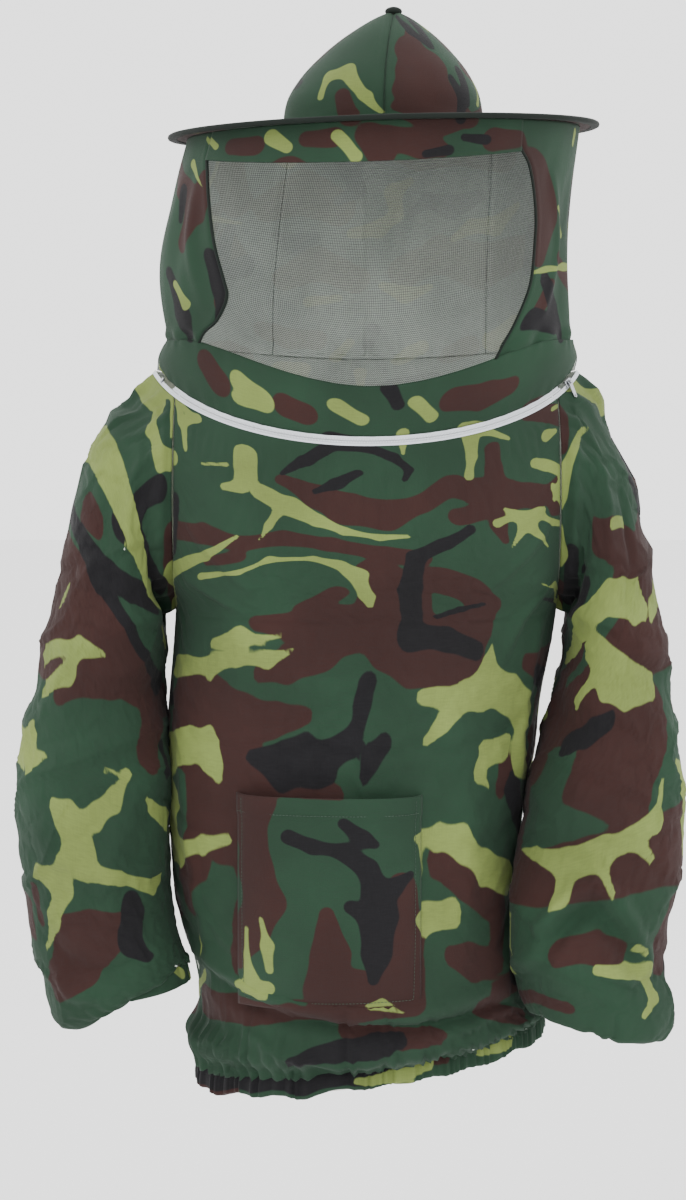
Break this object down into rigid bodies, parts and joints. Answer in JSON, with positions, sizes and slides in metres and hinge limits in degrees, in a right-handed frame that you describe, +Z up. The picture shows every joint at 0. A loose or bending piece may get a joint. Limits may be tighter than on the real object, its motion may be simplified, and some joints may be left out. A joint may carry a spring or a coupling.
{
  "type": "beekeeping jacket",
  "caption": "Pullover beekeeping jacket in camouflage cloth with a zipped-on veil hood, round wired-brim hat, elastic cuffs and hem, and a patch pocket.",
  "frame": {"origin": "middle of the neckline at shoulder level, where the wearer's neck carries the jacket", "axes": "+Z up towards the hat, the front of the jacket faces -Y, +X towards the wearer's left"},
  "size_m": [0.654, 0.427, 1.0823],
  "materials": {
    "camouflage_cloth": "matt woven polyester with a four-colour camouflage print",
    "dark_binding": "matt woven tape",
    "face_mesh": "fine open mesh, seen through",
    "white_tape": "woven zip tape",
    "white_teeth": "moulded plastic teeth",
    "nickel": "nickel plated, slightly worn",
    "spring_wire": "plain drawn spring steel",
    "elastic": "braided elastic"
  },
  "bodies": {
    "jacket": {"body_back_panel": "camouflage_cloth", "body_front_panel": "camouflage_cloth", "front_pocket": "camouflage_cloth", "hem_casing": "camouflage_cloth", "hem_elastic": "elastic", "zip_stop_left": "nickel", "zip_stop_right": "nickel", "zip_tape_jacket": "white_tape", "zip_teeth_jacket": "white_teeth"},
    "hood": {"brim_lower_ply": "camouflage_cloth", "brim_upper_ply": "camouflage_cloth", "crown_button": "dark_binding", "crown_gore_back_left": "camouflage_cloth", "crown_gore_back_right": "camouflage_cloth", "crown_gore_front_left": "camouflage_cloth", "crown_gore_front_right": "camouflage_cloth", "rim_binding": "dark_binding", "rim_hoop": "spring_wire", "sweatband": "dark_binding", "veil_back": "camouflage_cloth", "veil_face_mesh": "face_mesh", "veil_side_left": "camouflage_cloth", "veil_side_right": "camouflage_cloth", "veil_visor_band": "camouflage_cloth", "yoke_back": "camouflage_cloth", "yoke_front": "camouflage_cloth", "zip_tape_hood": "white_tape", "zip_teeth_hood": "white_teeth"},
    "sleeve_left": {"sleeve_left": "camouflage_cloth", "cuff_casing_left": "camouflage_cloth", "cuff_elastic_left": "elastic"},
    "sleeve_right": {"sleeve_right": "camouflage_cloth", "cuff_casing_right": "camouflage_cloth", "cuff_elastic_right": "elastic"},
    "zip_slider": {"zip_slider": "nickel", "zip_pull_pin": "nickel"},
    "zip_pull": {"zip_pull_tab": "nickel"}
  },
  "joints": [
    {"name": "hood_throw_back", "type": "hinge", "parent": "jacket", "child": "hood", "pos_m": [0, 0.117, -0.021], "axis": [-1, 0, 0], "range_deg": [0, 100]},
    {"name": "sleeve_left_raise", "type": "hinge", "parent": "jacket", "child": "sleeve_left", "pos_m": [0.2133, 0, -0.0042], "axis": [0, -1, 0], "range_deg": [0, 60]},
    {"name": "sleeve_right_raise", "type": "hinge", "parent": "jacket", "child": "sleeve_right", "pos_m": [-0.2133, 0, -0.0042], "axis": [0, 1, 0], "range_deg": [0, 60]},
    {"name": "zip_slider_run", "type": "hinge", "parent": "jacket", "child": "zip_slider", "pos_m": [0, 0.05886, 0.02775], "axis": [0, 0.4264, -0.9045], "range_deg": [0, 128]},
    {"name": "zip_pull_swing", "type": "hinge", "parent": "zip_slider", "child": "zip_pull", "pos_m": [0.20011, -0.03042, -0.01175], "axis": [0.6885, -0.5778, 0.4382], "range_deg": [-70, 70]}
  ]
}
